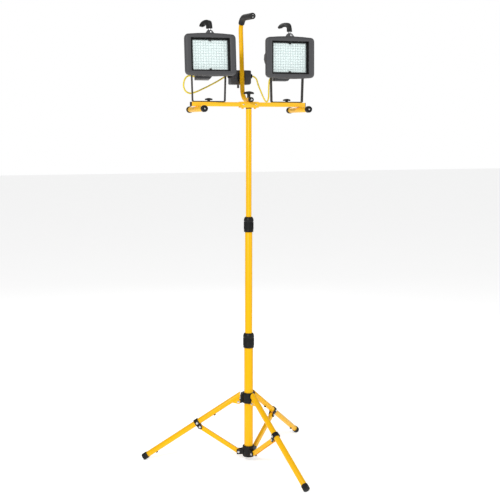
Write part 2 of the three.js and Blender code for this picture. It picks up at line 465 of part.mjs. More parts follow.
function buildLamp(i, tag) {
  const place = (s) => placeLamp(s, i);
  const B = BEZEL, O = OPENING, H = HOUSING, back = -B.back, front = -B.front;

  // bezel: dished frame with the hook's hump on top
  let bezel = plate(roundRect(B.w, B.h, B.r, B.bow), back, front, 'xz', B.edge);
  bezel = cut(bezel, plate(roundRect(O.w, O.h, 2), back + 2.5, front + 5, 'xz'),
    plate(roundRect(H.w - 10, H.h - 10, 4), back - 5, front, 'xz'));
  const up = B.h / 2, neckY = HOOK_Y, neckR = 4;
  const hump = outline([[-15, up - 5], [15, up - 5], [14.5, up], [8, up + 8.5], [5, up + 10], [-7, up + 10],
    [-9.5, up + 8.5], [-14.5, up]]);
  bezel = join(bezel, plate(hump, 25, 39, 'xz', 1.5));
  bezel = cut(bezel, rod(neckR + GAP, up - 1, up + 20).translate([HOOK_X, neckY, 0]));
  add(`bezel_${tag}`, place(bezel), M.grey);

  const pane = (t, y) => plate(roundRect(O.w - 0.8, O.h - 0.8, 2), -y - t, -y, 'xz');
  add(`glass_${tag}`, place(pane(GLASS_T, GLASS_Y)), M.glass);
  add(`led_board_${tag}`, place(pane(1.4, GLASS_Y + GLASS_T + GAP)), M.led);

  // housing: open cast shell with the tilt trunnions
  const w = H.w / 2, h = H.h / 2;
  const shell = (k, y0, y1, y2) => {
    const a = plate(roundRect(2 * (w - k), 2 * (h - k), 6), -y1, -y0, 'xz');
    const b = plate(roundRect(2 * (w - k) - 16, 2 * (h - k) - 16, 6), -y2, -y1 + 0.5, 'xz');
    return join(a, b);
  };
  let housing = cut(shell(0, H.front, H.step, H.back),
    shell(H.wall, H.front - 5, H.step - H.wall, H.back - H.wall));
  housing = join(housing, ...[-24, 0, 24].map((x) => block(x - 2, x + 2, H.back - 1, H.back + 8, 14 - h, h - 14)));
  housing = join(housing, rodX(5, w - 2, BRACKET_W / 2 + 1), rodX(5, -BRACKET_W / 2 - 1, -w + 2));
  housing = cut(housing, rodX(PIN_R + GAP, -BRACKET_W / 2 - 5, -w + 9));
  add(`housing_${tag}`, place(housing), M.grey);

  const t = TERMINAL_TOP, low = t - TERMINAL_DROP;
  const tb = outline([[-48, low], [1, low], [12, low + 12], [12, t], [-48, t]]);
  add(`terminal_box_${tag}`, place(plate(tb, -TERMINAL_BACK, 12, 'xz', 1.5)), M.grey);

  const len = LAMP_GLAND_LEN, gland = turned([[0, 0], [8, 0], [8, 4], [6.5, 5], [5.2, len], [0, len]], 12);
  add(`lamp_gland_${tag}`, place(turnX(gland, -90).translate([LEAD_X, TERMINAL_BACK + GAP, LEAD_Z])), M.black);

  // swivelling hook on its steel neck
  const seat = up + HOOK_UP, turn = (s) => turnZ(s, HOOK_TURN[i]).translate([HOOK_X, neckY, 0]);
  add(`hook_neck_${tag}`, place(rod(neckR, up - 0.5, seat + 11, 16).translate([HOOK_X, neckY, 0])), M.steel);
  const k = new THREE.Shape();
  k.moveTo(-9, seat);
  k.lineTo(9, seat);
  k.lineTo(9.3, seat + 10);
  k.quadraticCurveTo(10, seat + 17, 16, seat + 17.5);
  k.quadraticCurveTo(22, seat + 17.5, 27, seat + 13);
  k.lineTo(37, seat + 11.5);
  k.quadraticCurveTo(42, seat + 12.5, 40, seat + 17);
  k.quadraticCurveTo(33, seat + 29.5, 16, seat + 30.5);
  k.quadraticCurveTo(-2, seat + 32, -6, seat + 22);
  k.quadraticCurveTo(-8, seat + 14, -9, seat);
  const hook = cut(plate(k, -7.5, 7.5, 'xz'), rod(neckR + GAP, seat - 5, seat + 12, 16));
  add(`hook_${tag}`, place(turn(hook)), M.black);
}

// ---------------------------------------------------------------- leads
// Routes from the box to the lamps, with heights above the top of the crossbar.
function buildLeads() {
  const back = TERMINAL_BACK + LAMP_GLAND_LEN + 0.7;
  const mouth = (i) => [7.2, 3, 0].map((d) => lampPoint(i, LEAD_X, back + d, LEAD_Z));
  const raised = (points) => points.map(([x, y, z]) => [x, y, z + TOP_BAR]);
  const out = GLAND_OUT + 0.8, y = GLAND_Y;
  const left = [[BOX_X[0] - out, y, GLAND_UP], [-50, y, 95.6], [-58, y - 1.5, 91.5], [-74, 92.5, 82.5], [-97, 85, 70.5],
    [-137, 75, 51.5], [-173, 66, 36.5], [-197, 58, 31], [-214, 52, 37], [-222, 49, 50], [-223, 48, 64],
    [-219, 50, 77], [-211, 54, 87], [-200, 57, 91.5], [-189, 54, 90]];
  const right = [[BOX_X[1] + out, y, GLAND_UP], [52, y, 95.4], [59, y + 0.5, 91.5], [66, y + 1.5, 83],
    [71, y + 0.5, 66], [78, y - 6.5, 44], [85.5, 82, 19], [90.5, 72, 6], [94, 63, 7], [96, 58, 22], [95, 54, 46], [95.5, 54, 65], [97.5, 55, 79],
    [101, 53, 88]];
  add('lead_l', sweep([...raised(left), ...mouth(0)], LEAD_R, 28, 8), M.lead);
  add('lead_r', sweep([...raised(right), ...mouth(1)], LEAD_R, 26, 8), M.lead);
}

buildMast();
buildHubs();
[0, 1, 2].forEach(buildLeg);
buildBar();
buildHandle();
buildBox();
['l', 'r'].forEach((tag, i) => { buildBracket(i, tag); buildLamp(i, tag); });
buildLeads();

// The origin is the middle of the footprint, on the ground.
const bounds = new THREE.Box3().setFromObject(group);
for (const mesh of pieces) {
  mesh.geometry.translate(-(bounds.min.x + bounds.max.x) / 2, -(bounds.min.y + bounds.max.y) / 2, -bounds.min.z);
}

export default group;
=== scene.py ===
"""The looks of a twin-head LED work light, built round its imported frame."""

import json
import logging
import math
from dataclasses import dataclass, field
from enum import Enum
from typing import Iterable, Sequence

import bmesh
import bpy
from mathutils import Matrix, Vector


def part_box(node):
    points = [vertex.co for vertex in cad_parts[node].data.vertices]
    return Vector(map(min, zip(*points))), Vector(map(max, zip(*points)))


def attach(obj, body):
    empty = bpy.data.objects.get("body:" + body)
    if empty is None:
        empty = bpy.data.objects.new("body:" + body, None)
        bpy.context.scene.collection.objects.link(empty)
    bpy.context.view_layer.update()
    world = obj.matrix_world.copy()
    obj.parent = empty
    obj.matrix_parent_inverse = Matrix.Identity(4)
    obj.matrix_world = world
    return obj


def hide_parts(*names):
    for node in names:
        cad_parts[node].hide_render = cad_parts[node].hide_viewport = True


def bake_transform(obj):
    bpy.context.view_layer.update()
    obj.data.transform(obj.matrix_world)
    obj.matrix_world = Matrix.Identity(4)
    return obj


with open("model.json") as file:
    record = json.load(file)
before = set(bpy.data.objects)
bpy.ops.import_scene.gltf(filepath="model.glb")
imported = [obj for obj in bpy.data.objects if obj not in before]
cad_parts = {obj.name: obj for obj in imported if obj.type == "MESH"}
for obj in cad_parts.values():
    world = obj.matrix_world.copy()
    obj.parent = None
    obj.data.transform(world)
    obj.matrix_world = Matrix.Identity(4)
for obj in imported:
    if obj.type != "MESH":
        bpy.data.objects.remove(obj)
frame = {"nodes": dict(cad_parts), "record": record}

LOG = logging.getLogger("work_light")
MM = 0.001
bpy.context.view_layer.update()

Point = tuple[float, float, float]
Pair = tuple[float, float]
Socket = bpy.types.NodeSocket
Shape = bmesh.types.BMesh
Placed = tuple[Shape, Matrix]


# ---- finishes
class Nodes:
    """A material's node tree, with short calls for the nodes that the finishes share."""

    def __init__(self, name: str) -> None:
        """Starts a material with one Principled shader.

        Args:
            name: the material's name.
        """
        self.material = bpy.data.materials.new(name)
        self.material.use_nodes = True
        self.tree = self.material.node_tree
        self.shader = self.tree.nodes["Principled BSDF"]

    def node(self, kind: str, **inputs: object) -> bpy.types.Node:
        """Adds a node.

        Args:
            kind: the node's Blender type name.
            **inputs: socket values, with underscores for the spaces in their names.

        Returns:
            The new node.
        """
        made = self.tree.nodes.new(kind)
        for key, value in inputs.items():
            made.inputs[key.replace("_", " ")].default_value = value
        return made

    def link(self, a: Socket, b: Socket) -> None:
        """Joins two sockets."""
        self.tree.links.new(a, b)

    def place(self) -> Socket:
        """Returns the Object coordinates, which patterns read."""
        return self.tree.nodes.new("ShaderNodeTexCoord").outputs["Object"]

    def noise(self, scale: float, detail: float = 3.0, rough: float = 0.5) -> Socket:
        """Adds a noise pattern.

        Args:
            scale: how fine it is, in features a metre.
            detail: octaves.
            rough: weight of the finer octaves.

        Returns:
            The grey value.
        """
        made = self.node("ShaderNodeTexNoise", Scale=scale, Detail=detail, Roughness=rough)
        self.link(self.place(), made.inputs["Vector"])
        return made.outputs["Fac"]

    def spread(self, value: Socket, low: float, high: float,
               start: float = 0.3, end: float = 0.7) -> Socket:
        """Maps a grey value from start..end to low..high.

        Args:
            value: the grey value.
            low: result at start.
            high: result at end.
            start: lower input.
            end: upper input.

        Returns:
            The mapped value.
        """
        made = self.node("ShaderNodeMapRange", From_Min=start, From_Max=end, To_Min=low, To_Max=high)
        self.link(value, made.inputs["Value"])
        return made.outputs["Result"]

    def mix(self, factor: Socket, a: Sequence[float],
            b: Sequence[float]) -> Socket:
        """Mixes two colours by a grey value and returns the result."""
        made = self.tree.nodes.new("ShaderNodeMix")
        made.data_type = "RGBA"
        self.link(factor, made.inputs["Factor"])
        made.inputs[6].default_value = (*a[:3], 1.0)
        made.inputs[7].default_value = (*b[:3], 1.0)
        return made.outputs[2]

    def paint(self, pattern: Socket, a: Sequence[float], b: Sequence[float],
              start: float = 0.3, end: float = 0.7) -> None:
        """Colours the surface from a to b as a pattern goes from start to end."""
        tint = self.mix(self.spread(pattern, 0.0, 1.0, start, end), a, b)
        self.link(tint, self.shader.inputs["Base Color"])

    def dull(self, pattern: Socket, low: float, high: float,
             start: float = 0.3, end: float = 0.7) -> None:
        """Sets the roughness from low to high as a pattern goes from start to end."""
        self.link(self.spread(pattern, low, high, start, end), self.shader.inputs["Roughness"])

    def bump(self, height: Socket, strength: float, distance: float) -> None:
        """Raises the surface by a pattern: how much of it shows, and its depth in metres."""
        made = self.node("ShaderNodeBump", Strength=strength, Distance=distance)
        self.link(height, made.inputs["Height"])
        self.link(made.outputs["Normal"], self.shader.inputs["Normal"])

    def set(self, **values: object) -> None:
        """Sets the shader's own sockets, with underscores for spaces."""
        for key, value in values.items():
            self.shader.inputs[key.replace("_", " ")].default_value = value


def scaled(color: Sequence[float], by: float, lift: float = 0.0) -> list[float]:
    """Returns a colour multiplied by a number and lifted by another."""
    return [c * by + lift for c in color]


@dataclass(frozen=True)
class Finish:
    """What every finish states: a name, the record's slot and a colour."""

    name: str
    slot: str
    color: Point

    def build(self) -> bpy.types.Material:
        """Returns the finish's material, made once."""
        if self.name not in bpy.data.materials:
            self.dress(Nodes(self.name))
        return bpy.data.materials[self.name]

    def dress(self, nodes: Nodes) -> None:
        """Builds the nodes. Each finish has its own."""
        raise NotImplementedError


@dataclass(frozen=True)
class PowderCoat(Finish):
    """Sprayed powder on metal: an even colour with orange peel, faint scuffs and a clear gloss."""

    roughness: float = 0.32
    peel: float = 900.0

    def dress(self, nodes: Nodes) -> None:
        """Builds the coat."""
        nodes.paint(nodes.noise(9.0), self.color, scaled(self.color, 0.94))
        nodes.dull(nodes.noise(70.0, 6.0, 0.7), self.roughness, self.roughness + 0.16, 0.45, 0.8)
        nodes.bump(nodes.noise(self.peel, 2.0), 0.12, 0.0004)
        nodes.set(Coat_Weight=0.06, Coat_Roughness=0.2, Specular_IOR_Level=0.2)


@dataclass(frozen=True)
class CastCoat(Finish):
    """Fine texture coat on a die casting: grey with a speckle that can be felt."""

    roughness: float = 0.5

    def dress(self, nodes: Nodes) -> None:
        """Builds the casting."""
        nodes.paint(nodes.noise(1500.0, 2.0), scaled(self.color, 0.8), scaled(self.color, 1.35))
        nodes.dull(nodes.noise(30.0), self.roughness - 0.06, self.roughness + 0.08)
        nodes.bump(nodes.noise(1900.0, 3.0, 0.6), 0.3, 0.0004)
        nodes.set(Specular_IOR_Level=0.22)


@dataclass(frozen=True)
class Moulding(Finish):
    """Injection moulded plastic with a light spark grain."""

    roughness: float = 0.42

    def dress(self, nodes: Nodes) -> None:
        """Builds the plastic."""
        nodes.paint(nodes.noise(55.0, 5.0, 0.65), self.color, scaled(self.color, 1.7, 0.004), 0.5, 0.85)
        nodes.dull(nodes.noise(120.0), self.roughness - 0.05, self.roughness + 0.1)
        nodes.bump(nodes.noise(2600.0, 2.0), 0.18, 0.0003)
        nodes.set(Specular_IOR_Level=0.25)


@dataclass(frozen=True)
class Rubber(Finish):
    """Soft rubber: dull, dusty in places, with a fine pebble."""

    roughness: float = 0.72

    def dress(self, nodes: Nodes) -> None:
        """Builds the rubber."""
        nodes.paint(nodes.noise(38.0, 6.0, 0.7), self.color, scaled(self.color, 1.5, 0.012), 0.5, 0.8)
        nodes.dull(nodes.noise(90.0), self.roughness - 0.08, self.roughness + 0.08)
        nodes.bump(nodes.noise(1400.0, 3.0), 0.35, 0.0004)
        nodes.set(Specular_IOR_Level=0.35)


@dataclass(frozen=True)
class PlatedSteel(Finish):
    """Zinc or nickel plated fasteners with fine turning marks."""

    roughness: float = 0.24

    def dress(self, nodes: Nodes) -> None:
        """Builds the plating."""
        nodes.paint(nodes.noise(240.0, 4.0), self.color, scaled(self.color, 0.78))
        nodes.dull(nodes.noise(500.0, 4.0), self.roughness, self.roughness + 0.16)
        nodes.bump(nodes.noise(3200.0, 2.0), 0.1, 0.0002)
        nodes.set(Metallic=1.0)


@dataclass(frozen=True)
class ClearGlass(Finish):
    """Toughened float glass, clear with a green cast and a few smears."""

    alpha: float = 0.16

    def dress(self, nodes: Nodes) -> None:
        """Builds the glass."""
        nodes.dull(nodes.noise(14.0, 4.0), 0.03, 0.1)
        nodes.paint(nodes.noise(8.0), self.color, scaled(self.color, 0.97))
        nodes.set(Alpha=self.alpha, IOR=1.5, Specular_IOR_Level=0.5)


@dataclass(frozen=True)
class Luminous(Finish):
    """A white board or emitter with a faint painted glow that brightens its white."""

    glow: float = 0.4

    def dress(self, nodes: Nodes) -> None:
        """Builds the white with its painted glow."""
        nodes.paint(nodes.noise(160.0), self.color, scaled(self.color, 0.95))
        nodes.bump(nodes.noise(900.0), 0.08, 0.0002)
        # The emission is painted light: it brightens the white, and the board is no lamp.
        nodes.set(Roughness=0.4, Emission_Color=(*self.color, 1.0), Emission_Strength=self.glow)


@dataclass(frozen=True)
class Sheath(Finish):
    """Smooth cable sheath with a slight bloom along it."""

    def dress(self, nodes: Nodes) -> None:
        """Builds the sheath."""
        nodes.paint(nodes.noise(60.0, 4.0), self.color, scaled(self.color, 0.82))
        nodes.dull(nodes.noise(200.0), 0.38, 0.52)
        nodes.bump(nodes.noise(1600.0, 2.0), 0.12, 0.0003)
        nodes.set(Specular_IOR_Level=0.5)


YELLOW = PowderCoat("mast_yellow", "yellow", (0.96, 0.51, 0.001))
BAR_YELLOW = PowderCoat("bar_yellow", "bar_yellow", (0.93, 0.48, 0.008), roughness=0.3)
BLACK = Moulding("black_moulding", "black_plastic", (0.006, 0.006, 0.006))
KNOB = Moulding("knob_moulding", "black_plastic", (0.012, 0.012, 0.012), roughness=0.38)
RUBBER = Rubber("foot_rubber", "rubber", (0.01, 0.01, 0.01))
GRIP = Rubber("grip_rubber", "rubber", (0.012, 0.012, 0.012), roughness=0.6)
CASTING = CastCoat("grey_casting", "grey_casting", (0.03, 0.031, 0.032))
STRAP = PowderCoat("strap_black", "black_strap", (0.026, 0.023, 0.021), roughness=0.4)
GASKET = Rubber("gasket", "black_plastic", (0.006, 0.006, 0.006), roughness=0.55)
STEEL = PlatedSteel("plated_steel", "steel", (0.72, 0.73, 0.74))
GLASS = ClearGlass("lamp_glass", "glass", (0.84, 0.95, 0.94))
# The board and emitters carry a faint painted glow that brightens their white.
BOARD = Luminous("led_board_white", "led_white", (0.34, 0.4, 0.4), glow=0.1)
EMITTER = Luminous("led_emitter_white", "led_white", (0.76, 0.83, 0.82), glow=0.14)
SHEATH = Sheath("lead_sheath", "lead_yellow", (0.9, 0.7, 0.02))


# ---- shaping
def joint_point(name: str) -> Vector:
    """Returns where a joint of the frame turns, in mm."""
    joint = next(j for j in frame["record"]["behaviour"]["joints"] if j["name"] == name)
    return Vector(joint["pos_m"]) / MM


class Axis(Enum):
    """The direction that a turned or pushed-out shape points along."""

    X = (0.0, 90.0, 0.0)
    BACK_X = (0.0, -90.0, 0.0)
    Y = (-90.0, 0.0, 0.0)
    FRONT = (90.0, 0.0, 0.0)
    DOWN = (180.0, 0.0, 0.0)

    def turn(self) -> Matrix:
        """Returns the rotation from +Z to this direction."""
        x, y, z = (math.radians(v) for v in self.value)
        return Matrix.Rotation(z, 4, "Z") @ Matrix.Rotation(y, 4, "Y") @ Matrix.Rotation(x, 4, "X")


HERE = Matrix.Identity(4)


def shift(x: float, y: float, z: float) -> Matrix:
    """Returns a move by x, y and z."""
    return Matrix.Translation((x, y, z))


def moved(bm: Shape, place: Matrix) -> Shape:
    """Moves a whole shape and returns it."""
    bmesh.ops.transform(bm, matrix=place, verts=bm.verts)
    return bm


def about_z(degrees: float) -> Matrix:
    """Returns a turn round Z."""
    return Matrix.Rotation(math.radians(degrees), 4, "Z")


def verts_of(geom: Iterable[object]) -> list[bmesh.types.BMVert]:
    """Picks the vertices out of an operator's result."""
    return [g for g in geom if isinstance(g, bmesh.types.BMVert)]


def edges_of(geom: Iterable[object]) -> list[bmesh.types.BMEdge]:
    """Picks the edges out of an operator's result."""
    return [g for g in geom if isinstance(g, bmesh.types.BMEdge)]


def shown(name: str, data: bpy.types.ID) -> bpy.types.Object:
    """Makes an object of some data and puts it in the scene."""
    obj = bpy.data.objects.new(name, data)
    bpy.context.scene.collection.objects.link(obj)
    return obj


def turned(profile: Sequence[Pair], sides: int = 48) -> Shape:
    """Spins a profile round Z.

    Args:
        profile: (radius, height) pairs, in mm.
        sides: steps of the spin.

    Returns:
        The closed or open turned shape.
    """
    bm = bmesh.new()
    line = [bm.verts.new((r, 0.0, z)) for r, z in profile]
    for a, b in zip(line, line[1:]):
        bm.edges.new((a, b))
    bmesh.ops.spin(bm, geom=bm.verts[:] + bm.edges[:], cent=(0, 0, 0), axis=(0, 0, 1), dvec=(0, 0, 0),
                   angle=2 * math.pi, steps=sides, use_merge=True, use_duplicate=False)
    bmesh.ops.remove_doubles(bm, verts=bm.verts, dist=1e-4)
    return bm


def pushed(outline: Sequence[Pair], low: float, high: float) -> Shape:
    """Pushes a flat outline out along Z.

    Args:
        outline: corner points in the XY plane, in mm, in order.
        low: Z of the first face.
        high: Z of the last face.

    Returns:
        The closed plate.
    """
    bm = bmesh.new()
    face = bm.faces.new([bm.verts.new((x, y, low)) for x, y in outline])
    moved = bmesh.ops.extrude_face_region(bm, geom=[face])["geom"]
    bmesh.ops.translate(bm, vec=(0, 0, high - low), verts=verts_of(moved))
    bmesh.ops.recalc_face_normals(bm, faces=bm.faces)
    return bm


def block(size: Point, middle: Point) -> Shape:
    """Makes a box from its size and middle, in mm."""
    bm = bmesh.new()
    bmesh.ops.create_cube(bm, size=1.0, matrix=shift(*middle) @ Matrix.Diagonal((*size, 1.0)))
    return bm


def facing(point: Vector, across: Vector, along: Vector) -> Matrix:
    """Returns a place whose X is across and whose Z is along."""
    return Matrix.Translation(point) @ Matrix((across, along.cross(across), along)).transposed().to_4x4()


def direction(points: Sequence[Vector], i: int) -> Vector:
    """Returns which way a line of points runs at point i."""
    return (points[min(i + 1, len(points) - 1)] - points[max(i - 1, 0)]).normalized()


def drawn(stations: Sequence[Matrix], radii: Sequence[float], sides: int) -> Shape:
    """Draws a round section through a row of places, with closed ends.

    Args:
        stations: the section's places, in mm.
        radii: its radius at each place.
        sides: corners of the section.

    Returns:
        The closed tube.
    """
    bm = bmesh.new()
    ring = bmesh.ops.create_circle(bm, cap_ends=True, radius=radii[0], segments=sides,
                                   matrix=stations[0])["verts"]
    edges = list({e for v in ring for e in v.link_edges})
    for i in range(1, len(stations)):
        grown = bmesh.ops.extrude_edge_only(bm, edges=edges)["geom"]
        edges = edges_of(grown)
        size = Matrix.Scale(radii[i] / radii[i - 1], 4)
        bmesh.ops.transform(bm, matrix=stations[i] @ size @ stations[i - 1].inverted(), verts=verts_of(grown))
    bmesh.ops.contextual_create(bm, geom=edges)
    return bm


def swept(path: Sequence[Point], radii: Sequence[float], sides: int) -> Shape:
    """Draws a round tube along a path in the plane X = 0, in mm, with its radius at each point."""
    points = [Vector(p) for p in path]
    across = Vector((1, 0, 0))
    return drawn([facing(p, across, direction(points, i)) for i, p in enumerate(points)], radii, sides)


def rounded(bm: Shape, width: float, segments: int = 2,
            above: float = 35.0) -> Shape:
    """Rounds the edges that turn by more than an angle.

    Args:
        bm: the shape.
        width: size of the round, in mm.
        segments: steps across it.
        above: smallest angle that is rounded, in degrees.

    Returns:
        The same shape.
    """
    sharp = [e for e in bm.edges if len(e.link_faces) == 2 and e.calc_face_angle(0.0) > math.radians(above)]
    bmesh.ops.bevel(bm, geom=sharp, offset=width, offset_type="OFFSET", segments=segments, profile=0.5,
                    affect="EDGES", clamp_overlap=True, material=-1)
    return bm


def gathered(parts: Iterable[Placed]) -> Shape:
    """Puts several shapes, each at its own place, into one.

    Args:
        parts: (shape, place) pairs. The shapes are used up.

    Returns:
        One shape with all of them.
    """
    whole = bmesh.new()
    for bm, place in parts:
        part = bpy.data.meshes.new("part")
        moved(bm, place).to_mesh(part)
        bm.free()
        whole.from_mesh(part)
        bpy.data.meshes.remove(part)
    return whole


def knurl(size: Point, middle: Point, width: float, count: int) -> list[Placed]:
    """Makes a ring of raised ribs.

    Args:
        size: size of one rib.
        middle: its middle, out along X.
        width: size of the round on its edges.
        count: how many stand round Z.

    Returns:
        (rib, place) pairs.
    """
    return [(rounded(block(size, middle), width), about_z(k * 360 / count)) for k in range(count)]


def copied(node: str, width: float) -> Shape:
    """Takes a frame node's shape, merges its triangles and softens its edges.

    Args:
        node: the node's name.
        width: size of the edge round, in mm.

    Returns:
        The shape, in the row frame, in mm.
    """
    bm = bmesh.new()
    bm.from_mesh(frame["nodes"][node].data)
    bmesh.ops.scale(bm, vec=(1 / MM,) * 3, verts=bm.verts)
    bmesh.ops.remove_doubles(bm, verts=bm.verts, dist=2e-3)
    bmesh.ops.dissolve_limit(bm, angle_limit=math.radians(1.5), verts=bm.verts, edges=bm.edges)
    return rounded(bm, width, 2, 32.0)


@dataclass
class Piece:
    """One finished piece: its name, its body, if it rides on one, its finish and the nodes it stands for."""

    name: str
    body: str
    finish: Finish
    nodes: tuple[str, ...] = ()
    crease: float = 38.0

    def make(self, bm: Shape, place: Matrix = HERE, outward: bool = True) -> bpy.types.Object:
        """Turns a shape into a dressed object that moves with its body.

        Args:
            bm: the shape in mm. It is used up.
            place: where it goes in the row frame, in mm.
            outward: recalculates its normals.

        Returns:
            The object.
        """
        moved(bm, Matrix.Scale(MM, 4) @ place)
        if outward:
            bmesh.ops.recalc_face_normals(bm, faces=bm.faces)
        for f in bm.faces:
            f.smooth = True
        mesh = bpy.data.meshes.new(self.name)
        bm.to_mesh(mesh)
        bm.free()
        mesh.set_sharp_from_angle(angle=math.radians(self.crease))
        obj = shown(self.name, mesh)
        mesh.materials.append(self.finish.build())
        if self.nodes:
            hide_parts(*self.nodes)
        if self.body:
            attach(obj, self.body)
        LOG.info("%s on %s", self.name, self.body or "two bodies")
        return obj


def dress_node(node: str, body: str, finish: Finish, width: float) -> None:
    """Shows a frame node's own shape with softened edges and its finish.

    Args:
        node: the node it stands for.
        body: the body it rides on.
        finish: its finish.
        width: size of the edge round, in mm.
    """
    Piece(f"{node}_skin", body, finish, (node,)).make(copied(node, width), outward=False)


def screw(radius: float, height: float, cross: bool = True) -> Shape:
    """Makes a domed screw head that stands along +Z, with a cross recess if asked."""
    r, h = radius, height
    bm = turned([(0, 0), (r, 0), (r, h * 0.45), (r * 0.86, h * 0.8), (r * 0.5, h), (0, h)], 24)
    if not cross:
        return bm
    arms = [(block((r * 1.1, r * 0.24, h * 0.3), (0, 0, h * 0.95)), Matrix.Rotation(a, 4, "Z"))
            for a in (0.6, 0.6 + math.pi / 2)]
    return gathered([(bm, HERE), *arms])


def prism(radius: float, height: float, low: float = 0.0) -> Shape:
    """Makes a hexagon body with rounded edges that stands on a height along +Z."""
    bm = bmesh.new()
    bmesh.ops.create_cone(bm, cap_ends=True, segments=6, radius1=radius, radius2=radius, depth=height,
                          matrix=shift(0, 0, low + height / 2))
    return rounded(bm, 0.5)


def hexagon(radius: float, height: float) -> Shape:
    """Makes a hexagon bolt head with a washer that stands along +Z."""
    rim, thick = radius * 1.12, 0.7
    washer = turned([(0, 0), (rim, 0), (rim, thick), (0, thick)], 28)
    return gathered([(washer, HERE), (prism(radius, height, thick), HERE)])


# ---- mast
@dataclass
class Mast:
    """Three telescopic tubes with their twist locks, on the axis through the outer tube."""

    axis: Vector = field(default_factory=lambda: sum((Vector(p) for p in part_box("outer_tube")), Vector()) / 2)
    outer_r: float = 16.0
    middle_r: float = 13.0
    top_r: float = 10.0
    swage: float = 1.2
    wall: float = 1.5
    lock_height: float = 54.0
    ribs: int = 24

    @property
    def place(self) -> Matrix:
        """Returns the mast axis's place at ground level, in mm."""
        return shift(self.axis.x / MM, self.axis.y / MM, 0)

    def tube(self, node: str, body: str, radius: float, swage: float = 0.0) -> None:
        """Builds one tube with rolled ends.

        Args:
            node: the frame node it stands for.
            body: the body it rides on.
            radius: outer radius, in mm.
            swage: extra radius at its hidden lower end.
        """
        z0, z1 = (v.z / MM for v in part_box(node))
        inner, foot = radius - self.wall, radius + swage
        ring = [(inner, z0), (foot - 0.3, z0), (foot, z0 + 0.4), (foot, z0 + 14), (radius, z0 + 17),
                (radius, z1 - 0.6), (radius - 0.3, z1 - 0.1), (radius - 0.7, z1), (inner, z1 - 0.2),
                (inner, z0)]
        Piece(node.replace("_tube", "_section"), body, YELLOW, (node,)).make(turned(ring, 64), self.place)

    def lock(self, node: str, body: str, radius: float, below: float, above: float) -> None:
        """Builds a twist lock: a ribbed grip under a domed shoulder.

        Args:
            node: the frame node it stands for.
            body: the body it rides on.
            radius: outer radius.
            below: radius of the tube that it sits on.
            above: radius of the tube that comes out.
        """
        z0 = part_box(node)[0].z / MM
        z1, r, seat = z0 + self.lock_height, radius, z0 + 21.3
        line = [(below + 0.3, z0), (r - 1.6, z0), (r - 0.9, z0 + 0.3), (r - 0.6, z0 + 1.1), (r - 0.6, z0 + 6),
                (r - 1.1, z0 + 7), (r - 1.1, z0 + 37), (r, z0 + 38.5), (r, z0 + 41), (r - 0.4, z0 + 45),
                (r - 1.6, z0 + 49), (r - 3.2, z0 + 52), (above + 2.2, z1 - 0.4), (above + 1.4, z1),
                (above + 0.3, z1 - 0.3), (above + 0.3, seat), (below + 0.3, seat), (below + 0.3, z0)]
        parts = [(turned(line, 64), HERE), *knurl((1.5, 2.2, 27), (r - 0.75, 0, z0 + 22), 0.5, self.ribs)]
        Piece(node.replace("_ring", "_collar"), body, BLACK, (node,)).make(gathered(parts), self.place)

    def build(self) -> None:
        """Builds the tubes, locks and the black ring under the head."""
        self.tube("outer_tube", "stand", self.outer_r)
        self.tube("middle_tube", "mast_middle", self.middle_r, self.swage)
        self.tube("top_tube", "head", self.top_r, self.swage)
        self.lock("lower_lock_ring", "lower_lock", 20.0, self.outer_r, self.middle_r)
        self.lock("upper_lock_ring", "upper_lock", 17.5, self.middle_r, self.top_r)
        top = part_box("top_tube")[1].z / MM
        # A black ring, 2.8 mm tall, between the top tube's end and the saddle.
        washer = turned([(8.6, top + 0.1), (10.4, top + 0.1), (10.6, top + 0.4), (10.6, top + 2.6),
                         (10.3, top + 2.9), (8.6, top + 2.9), (8.6, top + 0.1)], 48)
        Piece("mast_top_black_ring", "head", BLACK).make(washer, self.place)


